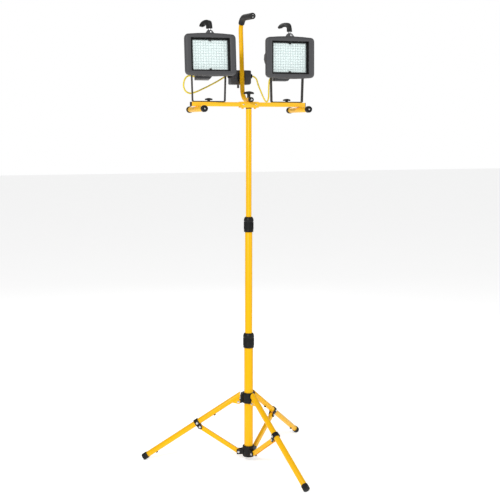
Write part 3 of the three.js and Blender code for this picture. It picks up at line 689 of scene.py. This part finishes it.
# ---- tripod
@dataclass
class Tripod:
    """Folding legs on a sliding hub, braced from a cup at the mast's foot."""

    mast: Mast
    azimuths: Point = (160.85, -79.15, 40.85)
    lean: float = 56.5
    pivot: float = 37.0
    cup_z: float = 32.0
    offset: float = 18.25
    length: float = 400.0
    tube_r: float = 10.25
    foot_r: float = 12.0
    buffers: Pair = (99.0, 353.0)
    bolt: Pair = (3.9, 2.4)
    hub_z: float = field(default_factory=lambda: joint_point("leg_fold_a").z)
    link: float = field(
        default_factory=lambda: (joint_point("brace_fold_a") - joint_point("leg_fold_a")).length)

    def leg_place(self, azimuth: float) -> Matrix:
        """Returns the frame of the leg at an azimuth in degrees, X along its tube from the hub pivot."""
        return (self.mast.place @ about_z(azimuth) @ shift(self.pivot, 0, self.hub_z)
                @ Matrix.Rotation(math.radians(90 - self.lean), 4, "Y"))

    def foot(self, tag: str, azimuth: float) -> None:
        """Builds a ribbed rubber foot, worn flat where it stands."""
        end, r, bore = self.length + 8, self.foot_r, self.tube_r + 0.25
        line = [(0, end), (r - 4.5, end), (r - 2.2, end - 0.7), (r - 0.7, end - 2.2), (r, end - 4.2),
                (r, end - 8), (r - 0.7, end - 8.5), (r - 0.7, end - 9.6), (r, end - 10.1), (r, end - 12.4),
                (r - 0.7, end - 12.9), (r - 0.7, end - 14), (r, end - 14.5), (r, end - 20),
                (r - 0.5, end - 21.6), (r - 1.2, end - 22), (bore, end - 22), (bore, end - 7.8),
                (0, end - 7.8)]
        bm = moved(turned(line, 56), self.leg_place(azimuth) @ shift(0, 0, self.offset) @ Axis.X.turn())
        cut = bmesh.ops.bisect_plane(bm, geom=bm.verts[:] + bm.edges[:] + bm.faces[:], plane_co=(0, 0, 0.02),
                                     plane_no=(0, 0, -1), clear_outer=True)["geom_cut"]
        bmesh.ops.holes_fill(bm, edges=edges_of(cut), sides=0)
        Piece(f"foot_cap_{tag}", f"leg_{tag}", RUBBER, (f"leg_foot_{tag}",)).make(bm)

    def bolts(self, tag: str, azimuth: float) -> None:
        """Builds the bright bolt heads at a leg's two pivots and at the cup."""
        leg = self.leg_place(azimuth)
        cup = self.mast.place @ about_z(azimuth) @ shift(self.pivot, 0, self.cup_z)

        def pair(base: Matrix, x: float, y: float, z: float) -> list[Placed]:
            """Returns the two heads of a pivot, one on each side."""
            return [(hexagon(*self.bolt), base @ shift(x, s * y, z) @ axis.turn())
                    for s, axis in ((1, Axis.Y), (-1, Axis.FRONT))]

        heads = [*pair(leg, 0.0, 7.6, 0.0), *pair(leg, self.link, 9.5, 0.0),
                 *pair(leg, self.link, 13.3, self.offset)]
        Piece(f"leg_bolts_{tag}", f"leg_{tag}", STEEL).make(gathered(heads))
        Piece(f"cup_bolts_{tag}", "stand", STEEL).make(gathered(pair(cup, 0.0, 9.5, 0.0)))

    def leg_buffers(self, tag: str, azimuth: float) -> None:
        """Builds the two rubber buffers under a leg tube."""
        dots, under = [], self.offset - self.tube_r
        for x in self.buffers:
            dot = turned([(0, -0.6), (4.2, -0.6), (4.2, 1.6), (3.4, 3.0), (1.6, 3.5), (0, 3.6)], 28)
            dots.append((dot, self.leg_place(azimuth) @ shift(x, 0, under) @ Axis.DOWN.turn()))
        Piece(f"leg_buffers_{tag}", f"leg_{tag}", GASKET).make(gathered(dots))

    def build(self) -> None:
        """Builds the hub, cup, legs, braces and their fasteners."""
        dress_node("leg_hub", "hub", BLACK, 0.7)
        dress_node("strut_hub", "stand", BLACK, 0.6)
        dress_node("hub_lock_knob", "hub_knob", KNOB, 0.7)
        for tag, azimuth in zip("abc", self.azimuths):
            dress_node(f"leg_tube_{tag}", f"leg_{tag}", YELLOW, 0.35)
            dress_node(f"leg_clip_{tag}", f"leg_{tag}", BLACK, 0.5)
            dress_node(f"strut_{tag}", f"brace_{tag}", YELLOW, 0.5)
            self.foot(tag, azimuth)
            self.bolts(tag, azimuth)
            self.leg_buffers(tag, azimuth)


# ---- head bar
@dataclass
class HeadBar:
    """The crossbar on its saddle, with the two cross tubes and the clamp knob."""

    mast: Mast
    half: float = 210.0
    top: float = 1296.0
    cross_x: float = 190.0
    cross_z: float = 1271.0
    cross_half: float = 94.0
    cross_r: float = 9.5
    cap_r: float = 11.5

    def plug(self, side: int) -> None:
        """Builds the black plug in one end of the bar."""
        inner = rounded(block((5, 16.4, 11.4), (side * (self.half - 2.2), 0, self.top - 7.5)), 0.6)
        rim = rounded(block((2.2, 19.8, 14.8), (side * (self.half + 1.3), 0, self.top - 7.5)), 0.8, 3)
        Piece(f"bar_plug_{'r' if side > 0 else 'l'}", "head", BLACK).make(
            gathered([(inner, HERE), (rim, HERE)]), self.mast.place)

    def cross_tube(self, side: int) -> None:
        """Builds one cross tube with its rubber caps and their centre screws."""
        tag = "r" if side > 0 else "l"
        end, r, c = self.cross_half, self.cross_r, self.cap_r
        base = self.mast.place @ shift(side * self.cross_x, 0, self.cross_z)
        tube = turned([(r - 1.5, -end), (r - 0.2, -end), (r, -end + 0.3), (r, end - 0.3), (r - 0.2, end),
                       (r - 1.5, end), (r - 1.5, -end)], 48)
        rail = Piece(f"cross_rail_{tag}", "head", BAR_YELLOW, (f"cross_tube_{tag}",))
        rail.make(tube, base @ Axis.Y.turn())
        e = end + 3
        line = [(0, e - 0.7), (2.6, e - 0.7), (2.8, e - 0.1), (c - 3.2, e), (c - 1.4, e - 0.5),
                (c - 0.4, e - 1.5), (c, e - 3), (c, e - 7), (c - 0.5, e - 7.5), (c - 0.5, e - 8.5),
                (c, e - 9), (c, e - 15), (c - 0.4, e - 15.8), (c - 1, e - 16), (r + 0.2, e - 16),
                (r + 0.2, end + 0.2), (0, end + 0.2)]
        for where, axis in (("front", Axis.FRONT), ("back", Axis.Y)):
            cap = Piece(f"rail_cap_{where}_{tag}", "head", BLACK, (f"cross_cap_{where}_{tag}",))
            cap.make(turned(line, 56), base @ axis.turn())
            pin = Piece(f"rail_screw_{where}_{tag}", "head", STEEL)
            pin.make(screw(2.4, 1.1), base @ axis.turn() @ shift(0, 0, e - 0.75))

    def rivets(self) -> None:
        """Builds the small rivets on the bar and the saddle's side screws."""
        parts = [(screw(3.4, 2.2, False), shift(-101, -3, self.top))]
        for x in (-self.cross_x, self.cross_x):
            parts.append((screw(4.2, 2.4, False), shift(x, 0, self.top)))
        Piece("bar_rivets", "head", BAR_YELLOW).make(gathered(parts), self.mast.place)
        sides = [(screw(2.6, 1.5), shift(x, y, self.top - 8) @ axis.turn())
                 for x in (-23, 23) for y, axis in ((-12.8, Axis.FRONT), (12.8, Axis.Y))]
        Piece("saddle_screws", "head", STEEL).make(gathered(sides), self.mast.place)

    def build(self) -> None:
        """Builds the bar, saddle, cross tubes, plugs and knob."""
        dress_node("crossbar", "head", BAR_YELLOW, 0.6)
        dress_node("head_saddle", "head", BAR_YELLOW, 0.5)
        dress_node("clamp_knob", "clamp", KNOB, 0.9)
        for side in (-1, 1):
            self.plug(side)
            self.cross_tube(side)
        self.rivets()


# ---- handle
@dataclass
class Handle:
    """The bent carrying handle with its rubber grip."""

    mast: Mast
    tube_r: float = 8.0
    grip_r: float = 11.0
    base_z: float = 1304.3
    bend: float = 45.0
    bend_y: float = 24.0
    lean: float = 4.63
    start_y: float = -27.0
    bend_top: float = 40.0
    rise_z: float = 1549.3
    end: Pair = (-39.0, 1589.0)

    def line(self) -> tuple[list[Point], int]:
        """Returns the handle's centre line and the index where the upper bend starts."""
        lean, pts = math.radians(self.lean), []

        def run(y: float, z: float, steps: int) -> None:
            """Adds a straight run to a point."""
            y0, z0 = pts[-1][1:]
            for i in range(1, steps + 1):
                pts.append((0.0, y0 + (y - y0) * i / steps, z0 + (z - z0) * i / steps))

        def bend(y: float, z: float, radius: float, start: float, sweep: float) -> None:
            """Adds a bend round a centre, by angles from straight back."""
            for i in range(1, 17):
                a = start + sweep * i / 16
                pts.append((0.0, y + radius * math.cos(a), z + radius * math.sin(a)))

        pts += [(0.0, self.start_y + k * 8.5, self.base_z) for k in range(6)]
        bend(self.bend_y, self.base_z + self.bend, self.bend, -math.pi / 2, math.pi / 2 - lean)
        top_y = pts[-1][1] + (self.rise_z - pts[-1][2]) * math.tan(lean)
        run(top_y, self.rise_z, 8)
        first = len(pts)
        bend(top_y - self.bend_top * math.cos(lean), self.rise_z + self.bend_top * math.sin(lean),
             self.bend_top, -lean, math.pi / 2 + lean)
        run(*self.end, 14)
        return pts, first

    def build(self) -> None:
        """Builds the tube, the grip, the end cap and the bright dots."""
        pts, first = self.line()
        tube = swept(pts, [self.tube_r] * len(pts), 36)
        Piece("handle_bow", "head", YELLOW, ("handle_tube",)).make(tube, self.mast.place)
        grip = pts[first + 5:]
        tip = (Vector(grip[-1]) - Vector(grip[-2])).normalized()
        radii = [self.grip_r] * len(grip)
        radii[0] = self.grip_r - 0.7
        for back, inset in ((1.6, 0.35), (3.4, 1.4), (4.6, 3.0), (5.2, 5.2), (5.5, 8.2)):
            grip.append(tuple(Vector(pts[-1]) + tip * back))
            radii.append(self.grip_r - inset)
        Piece("handle_sleeve", "head", GRIP, ("handle_grip",)).make(swept(grip, radii, 40), self.mast.place)
        end = Vector(pts[-1]) + tip * 4.6
        dots = [(screw(1.9, 1.1), shift(0.0, end.y, end.z + s) @ Axis.FRONT.turn()) for s in (4.2, -4.2)]
        Piece("grip_dots", "head", STEEL).make(gathered(dots), self.mast.place)
        r = self.tube_r + 1
        cap = [(0, 4), (r - 3.4, 4), (r - 1.6, 3.6), (r - 0.5, 2.7), (r, 1.4), (r, -8.6), (r - 0.3, -9),
               (r - 0.7, -9), (r - 0.7, 0.3), (0, 0.3)]
        place = self.mast.place @ shift(0, self.start_y, self.base_z) @ Axis.FRONT.turn()
        Piece("handle_cap", "head", BLACK, ("handle_end_cap",)).make(turned(cap, 48), place)
        Piece("handle_cap_dot", "head", STEEL).make(screw(2.8, 1.2), place @ shift(0, 0, 3.9))


# ---- junction box
@dataclass
class JunctionBox:
    """The wiring box on the back of the handle, with a lid, its screws and three glands."""

    mast: Mast
    x: Pair = (-37.5, 39.0)
    back: float = 118.0
    z: Pair = (1361.0, 1412.0)
    gland_z: float = 1392.0
    gland_y: float = 98.5
    gland_r: float = 9.0
    gland_out: float = 8.0

    def lid(self) -> None:
        """Builds the raised lid on the back with its corner screws."""
        (x0, x1), y1, (z0, z1) = self.x, self.back, self.z
        plate = pushed([(x0 + 4, z0 + 4), (x1 - 12, z0 + 4), (x1 - 4, z0 + 12), (x1 - 4, z1 - 4),
                        (x0 + 4, z1 - 4)], -y1 - 2.4, -y1 + 0.4)
        lid = rounded(plate, 0.9, 3)
        Piece("box_lid", "head", CASTING).make(lid, self.mast.place @ Axis.FRONT.turn())
        spots = ((x0 + 9, z0 + 9), (x1 - 14, z0 + 10), (x0 + 9, z1 - 9), (x1 - 9, z1 - 9))
        heads = [(screw(2.7, 1.4), shift(x, y1 + 2.3, z) @ Axis.Y.turn()) for x, z in spots]
        Piece("box_screws", "head", STEEL).make(gathered(heads), self.mast.place)

    def gland(self, tag: str) -> None:
        """Builds a cable gland: a hexagon body, a ribbed nut and a rubber seal."""
        axis = Axis.X if tag == "r" else Axis.BACK_X
        x = self.x[1] + 0.3 if tag == "r" else self.x[0] - 0.3
        r, e, s = self.gland_r, self.gland_out, self.gland_out * 0.4
        nut = [(0, s), (r - 1.2, s), (r - 1.0, s + 0.5), (r - 1.0, e - 2.4), (r - 1.8, e - 1.2),
               (r - 3.2, e - 0.3), (r - 4.2, e), (0, e)]
        parts = [(prism(r, s), HERE), (turned(nut, 48), HERE),
                 *knurl((0.9, 1.4, 2.4), (r - 1.0, 0, s + 1.5), 0.3, 12)]
        place = self.mast.place @ shift(x, self.gland_y, self.gland_z) @ axis.turn()
        Piece(f"gland_nut_{tag}", "head", BLACK, (f"gland_{tag}",)).make(gathered(parts), place)

    def build(self) -> None:
        """Builds the box, its lid, clip and glands."""
        dress_node("junction_box", "head", CASTING, 0.8)
        dress_node("box_clip", "head", BLACK, 0.5)
        self.lid()
        self.gland("r")
        self.gland("l")


# ---- lamps
class Side(Enum):
    """The two lamps: tag, bracket position along the bar, pan and tilt at rest."""

    LEFT = ("l", -147.0, -6.0, 7.1)
    RIGHT = ("r", 143.0, -3.0, 1.2)


@dataclass
class Lamp:
    """One LED floodlight on its swivel bracket."""

    mast: Mast
    side: Side
    pivot_z: float = 1450.5
    opening: Pair = (136.0, 114.0)
    window: Pair = (121.0, 101.0)
    front: float = -43.0
    glass_y: float = -30.5
    grid: tuple[int, int] = (13, 11)
    pitch: float = 9.1
    fins: tuple[int, ...] = (-36, -30, -18, -12, -6, 6, 12, 18, 30, 36)
    mouth: Point = (-38.0, 22.3, -63.4)

    @property
    def tag(self) -> str:
        """Returns l or r."""
        return self.side.value[0]

    @property
    def bracket(self) -> Matrix:
        """Returns the bracket's frame, at ground level under its pan axis."""
        _, x, pan, _ = self.side.value
        return self.mast.place @ shift(x, 0, 0) @ about_z(pan)

    @property
    def place(self) -> Matrix:
        """Returns the lamp's frame, whose origin is the middle of its tilt pivot."""
        tilt = math.radians(-self.side.value[3])
        return self.bracket @ shift(0, 0, self.pivot_z) @ Matrix.Rotation(tilt, 4, "X")

    def piece(self, name: str, finish: Finish, *nodes: str, body: str = "lamp") -> Piece:
        """Names a piece of this lamp.

        Args:
            name: the piece's name without its side.
            finish: its finish.
            *nodes: frame nodes it stands for, without their side.
            body: the body it rides on, without its side.

        Returns:
            The piece, not made yet.
        """
        tag = self.tag
        return Piece(f"{name}_{tag}", f"{body}_{tag}", finish, tuple(f"{n}_{tag}" for n in nodes))

    def pane(self, low: float, high: float) -> Shape:
        """Makes a plate that fills the opening, between two depths behind the front."""
        w, h = (v / 2 - 0.6 for v in self.opening)
        return pushed([(-w, -h), (w, -h), (w, h), (-w, h)], -self.glass_y - low, -self.glass_y - high)

    def frame_ring(self, outer: Pair, inner: Pair, y0: float, y1: float) -> Shape:
        """Makes a rectangular ring that faces the front.

        Args:
            outer: its outer width and height.
            inner: the width and height of its hole.
            y0: its front.
            y1: its back.

        Returns:
            The closed ring.
        """
        (w, h), (a, b) = outer, inner
        bm = bmesh.new()
        corners = ((-1, -1), (1, -1), (1, 1), (-1, 1))
        face = bm.faces.new([bm.verts.new((x * w / 2, y * h / 2, -y1)) for x, y in corners])
        face.normal_update()  # the inset needs the normal of a face that stands alone
        bmesh.ops.inset_region(bm, faces=[face], thickness=(w - a) / 2, use_even_offset=True,
                               use_boundary=True)
        for v in face.verts:
            v.co.y *= b / 2 / abs(v.co.y)
        bmesh.ops.delete(bm, geom=[face], context="FACES_ONLY")
        grown = bmesh.ops.extrude_face_region(bm, geom=bm.faces[:])["geom"]
        bmesh.ops.translate(bm, vec=(0, 0, y1 - y0), verts=verts_of(grown))
        bmesh.ops.recalc_face_normals(bm, faces=bm.faces)
        return moved(bm, Axis.FRONT.turn())

    def front_frame(self) -> None:
        """Builds the bezel, the black liner and seal, the glass clips and the hump's screw."""
        tag = self.tag
        dress_node(f"bezel_{tag}", f"lamp_{tag}", CASTING, 0.7)
        (w, h), g = self.opening, self.glass_y
        liner = self.frame_ring((w - 0.3, h - 0.3), (w - 2.4, h - 2.4), self.front + 1.2, g - 0.1)
        seal = self.frame_ring((w - 2.0, h - 2.0), self.window, g - 1.3, g - 0.1)
        edge = self.window[1] / 2 + 0.5
        clips = [(rounded(block((7.5, 4.5, 9.0), (0, g - 2.6, z)), 0.8), HERE) for z in (edge, -edge)]
        parts = [(rounded(liner, 0.25), HERE), (rounded(seal, 0.3), HERE), *clips]
        self.piece("window_seal", GASKET).make(gathered(parts), self.place)
        hump = shift(3.2, -39.0, 77.0) @ Axis.FRONT.turn()
        corners = [(screw(2.5, 1.2), shift(x, -23.2, z) @ Axis.Y.turn())
                   for x in (-78, 78) for z in (-59, 59)]
        self.piece("frame_screws", STEEL).make(gathered([(screw(3.3, 1.6), hump), *corners]), self.place)

    def light_panel(self) -> None:
        """Builds the glass and the board with its rows of emitters."""
        place = self.place @ Axis.FRONT.turn()
        self.piece("window", GLASS, "glass").make(rounded(self.pane(3.0, 0.0), 0.5), place)
        self.piece("light_board", BOARD, "led_board").make(rounded(self.pane(4.7, 3.9), 0.2, 1), place)
        nx, nz = self.grid
        parts = []
        for i in range(nx):
            for k in range(nz):
                x, z = (i - (nx - 1) / 2) * self.pitch, (k - (nz - 1) / 2) * self.pitch
                chip = bmesh.new()
                bmesh.ops.create_cone(chip, cap_ends=True, segments=4, radius1=5.5, radius2=5.1, depth=0.6,
                                      matrix=shift(x, z, -self.glass_y - 3.6) @ about_z(45))
                parts.append((chip, HERE))
        self.piece("emitters", EMITTER).make(gathered(parts), place)

    def back(self) -> None:
        """Builds the housing with its cooling fins, the terminal box, gland and the right pivot bolt."""
        tag, body = self.tag, f"lamp_{self.tag}"
        dress_node(f"housing_{tag}", body, CASTING, 0.8)
        fins = [(rounded(block((1.8, 12, 66), (x, 38.5, 0)), 0.6), HERE) for x in self.fins]
        self.piece("cooling_fins", CASTING).make(gathered(fins), self.place)
        dress_node(f"terminal_box_{tag}", body, CASTING, 0.7)
        heads = [(screw(2.4, 1.3), shift(x, 21.9, z) @ Axis.Y.turn())
                 for x, z in ((-43, -74), (-4, -74), (-43, -53.5), (7, -53.5))]
        self.piece("terminal_screws", STEEL).make(gathered(heads), self.place)
        line = [(0, 0), (8, 0), (8.0, 3.6), (7.4, 4.2), (6.9, 5.2), (6.4, 8), (5.6, 12), (5.0, 14), (0, 14)]
        parts = [(turned(line, 40), HERE), *knurl((0.9, 1.4, 3.2), (7.9, 0, 2), 0.3, 10)]
        place = self.place @ shift(*self.mouth) @ Axis.Y.turn()
        self.piece("terminal_gland", BLACK, "lamp_gland").make(gathered(parts), place)
        bolt = self.bracket @ shift(63.6, 0, self.pivot_z) @ Axis.X.turn()
        self.piece("pivot_bolt", STEEL, body="yoke").make(hexagon(6.2, 4.0), bolt)

    def hook(self) -> None:
        """Builds the swivel hook and its bright neck."""
        neck = [(0, 73), (4, 73), (4, 84.4), (4.8, 84.8), (4.8, 86.6), (4, 87), (4, 100), (3.6, 100.4),
                (0, 100.4)]
        self.piece("neck", STEEL, "hook_neck").make(turned(neck, 40), self.place @ shift(-1, -32, 0))
        hanger = self.piece("hanger", KNOB, "hook", body="lamp_hook")
        obj = hanger.make(copied(f"hook_{self.tag}", 1.8), outward=False)
        soft = obj.modifiers.new("Soft", "BEVEL")
        soft.width, soft.segments, soft.limit_method, soft.angle_limit = 0.0006, 2, "ANGLE", math.radians(30)

    def knobs(self) -> None:
        """Builds the bracket with its base knob and the tilt knob."""
        tag = self.tag
        dress_node(f"bracket_{tag}", f"yoke_{tag}", STRAP, 0.4)
        dress_node(f"wing_knob_{tag}", f"yoke_knob_{tag}", KNOB, 0.8)
        dress_node(f"tilt_knob_{tag}", f"lamp_knob_{tag}", KNOB, 0.8)
        cap = turned([(0, 0), (8, 0), (8, 0.8), (7, 1.6), (0, 1.8)], 40)
        place = self.bracket @ shift(-79.4, 0, self.pivot_z) @ Axis.BACK_X.turn()
        self.piece("tilt_knob_cap", BLACK, body="lamp_knob").make(cap, place)

    def build(self) -> None:
        """Builds the whole lamp."""
        self.front_frame()
        self.light_panel()
        self.back()
        self.hook()
        self.knobs()


# ---- leads
@dataclass
class Lead:
    """A flexible lead from the junction box to a lamp, in two stretches that meet at its lowest point.

    Neither stretch rides on a body.
    """

    mast: Mast
    tag: str
    route: tuple[Point, ...]
    split: int
    radius: float = 2.75
    sides: int = 18

    def smooth(self) -> tuple[list[Vector], int]:
        """Returns the route as close points on one curve, in metres, and the index where it splits."""
        base = self.mast.place
        pts = [base @ Vector(p) for p in self.route]
        pts = [pts[0] * 2 - pts[1], *pts, pts[-1] * 2 - pts[-2]]
        out, at = [], 0
        for i in range(1, len(pts) - 2):
            if i - 1 == self.split:
                at = len(out)
            p0, p1, p2, p3 = pts[i - 1:i + 3]
            steps = max(2, round((p2 - p1).length / 4))
            for s in range(steps):
                t = s / steps
                out.append(0.5 * ((2 * p1) + (p2 - p0) * t + (2 * p0 - 5 * p1 + 4 * p2 - p3) * t * t
                                  + (3 * p1 - p0 - 3 * p2 + p3) * t ** 3))
        out.append(pts[-2])
        return [p * MM for p in out], at

    def tube(self, line: Sequence[Vector]) -> Shape:
        """Draws the sheath along a line in metres and returns the closed tube, in mm."""
        stations, side = [], None
        for i, p in enumerate(line):
            along = direction(line, i)
            side = (side - along * side.dot(along)).normalized() if side else along.orthogonal().normalized()
            stations.append(facing(p / MM, side, along))
        return drawn(stations, [self.radius] * len(line), self.sides)

    def stretch(self, name: str, line: Sequence[Vector]) -> None:
        """Builds one stretch, which rides on no body.

        Args:
            name: the piece's name.
            line: centre points, in metres.
        """
        obj = Piece(name, "", SHEATH, (f"lead_{self.tag}",)).make(self.tube(line))
        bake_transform(obj)

    def build(self) -> None:
        """Builds both stretches."""
        line, at = self.smooth()
        self.stretch(f"box_lead_{self.tag}", line[:at + 1])
        self.stretch(f"lamp_lead_{self.tag}", line[at:])


# Routes from the box towards the lamps, with heights above the top of the crossbar. Each splits where it
# hangs lowest, and ends with three points straight into the gland, given by their distance from its mouth.
LEFT_ROUTE: tuple[Point, ...] = (
    (-46.3, 98.5, 96), (-50, 98.5, 95.6), (-58, 97, 91.5), (-74, 92.5, 82.5), (-97, 85, 70.5),
    (-137, 75, 51.5), (-173, 66, 36.5), (-197, 58, 31), (-214, 52, 37), (-222, 49, 50), (-223, 48, 64),
    (-219, 50, 77), (-211, 54, 87), (-200, 57, 91.5), (-189, 54, 90))
RIGHT_ROUTE: tuple[Point, ...] = (
    (47.8, 98.5, 96), (52, 98.5, 95.4), (59, 99, 91.5), (66, 100, 83), (71, 99, 66), (78, 92, 44),
    (85.5, 82, 19), (90.5, 72, 6), (94, 63, 7), (96, 58, 22), (95, 54, 46), (95.5, 54, 65), (97.5, 55, 79),
    (101, 53, 88))
SPLITS = (7, 8)
GLAND_LENGTH = 14.4
RUN_IN = (7.2, 3.0, 0.0)


# ---- studio
@dataclass
class Studio:
    """A pale floor, soft lights and the camera."""

    mast: Mast
    eye: Point = (-1170.0, -3319.0, 1198.0)
    heading: float = 19.15  # degrees
    pitch: float = 0.12  # radians
    lens: float = 71.4
    shift_x: float = 0.0119
    sky: float = 0.42
    floor_half: float = 24.0

    def camera(self) -> None:
        """Sets up the camera."""
        data = bpy.data.cameras.new("camera")
        data.lens, data.sensor_width, data.shift_x = self.lens, 36.0, self.shift_x
        data.clip_end = 50.0
        cam = shown("camera", data)
        turn = about_z(-self.heading) @ Matrix.Rotation(math.pi / 2 - self.pitch, 4, "X")
        eye = (self.mast.place @ Vector(self.eye)) * MM
        cam.matrix_world = Matrix.Translation(eye) @ turn
        bpy.context.scene.camera = cam

    def lamp(self, name: str, spot: Point, aim: Point, size: float, power: float) -> None:
        """Adds one square soft light.

        Args:
            name: its name.
            spot: where it stands, in metres.
            aim: the point it faces.
            size: its side, in metres.
            power: watts.
        """
        data = bpy.data.lights.new(name, "AREA")
        data.shape, data.size, data.energy = "SQUARE", size, power
        obj = shown(name, data)
        toward = (Vector(aim) - Vector(spot)).to_track_quat("-Z", "Y")
        obj.matrix_world = Matrix.Translation(spot) @ toward.to_matrix().to_4x4()

    def floor(self) -> None:
        """Lays the pale floor."""
        bm = bmesh.new()
        bmesh.ops.create_grid(bm, x_segments=4, y_segments=4, size=self.floor_half)
        mesh = bpy.data.meshes.new("studio_floor")
        bm.to_mesh(mesh)
        bm.free()
        nodes = Nodes("studio_floor")
        tint = nodes.mix(nodes.noise(1.5), (0.93, 0.93, 0.93), (0.95, 0.95, 0.95))
        nodes.link(tint, nodes.shader.inputs["Base Color"])
        nodes.set(Roughness=0.8, Emission_Color=(1, 1, 1, 1), Emission_Strength=0.5)
        mesh.materials.append(nodes.material)
        shown("studio_floor", mesh)

    def build(self) -> None:
        """Builds the floor, lights and world."""
        self.floor()
        world = bpy.data.worlds.new("studio")
        world.use_nodes = True
        tree = world.node_tree
        backdrop, glow = tree.nodes["Background"], tree.nodes.new("ShaderNodeBackground")
        backdrop.inputs["Color"].default_value = glow.inputs["Color"].default_value = (1, 1, 1, 1)
        glow.inputs["Strength"].default_value = self.sky
        rays, pick = tree.nodes.new("ShaderNodeLightPath"), tree.nodes.new("ShaderNodeMixShader")
        tree.links.new(rays.outputs["Is Camera Ray"], pick.inputs[0])
        tree.links.new(glow.outputs[0], pick.inputs[1])
        tree.links.new(backdrop.outputs[0], pick.inputs[2])
        tree.links.new(pick.outputs[0], tree.nodes["World Output"].inputs["Surface"])
        bpy.context.scene.world = world
        bpy.context.scene.view_settings.view_transform = "Standard"
        self.lamp("key", (-2.6, -3.2, 3.4), (0, 0, 0.9), 1.2, 125)
        self.lamp("fill", (2.8, -2.4, 2.2), (0, 0, 0.9), 2.0, 20)
        self.lamp("rim", (0.6, 3.0, 2.6), (0, 0, 1.0), 1.6, 15)


def main() -> None:
    """Builds the work light: camera and leads first, then each sub-assembly."""
    logging.basicConfig(level=logging.INFO, format="%(name)s: %(message)s")
    mast = Mast()
    studio, bar = Studio(mast), HeadBar(mast)
    studio.camera()
    lamps = [Lamp(mast, side) for side in Side]
    for lamp, route, split in zip(lamps, (LEFT_ROUTE, RIGHT_ROUTE), SPLITS):
        from_mast, (x, y, z) = mast.place.inverted() @ lamp.place, lamp.mouth
        ends = [tuple(from_mast @ Vector((x, y + GLAND_LENGTH + d, z))) for d in RUN_IN]
        raised = [(px, py, pz + bar.top) for px, py, pz in route]
        Lead(mast, lamp.tag, (*raised, *ends), split).build()
    builders = [mast, Tripod(mast), bar, Handle(mast), JunctionBox(mast), *lamps, studio]
    for builder in builders:
        LOG.info("building %s", type(builder).__name__)
        builder.build()


if __name__ == "__main__":
    main()
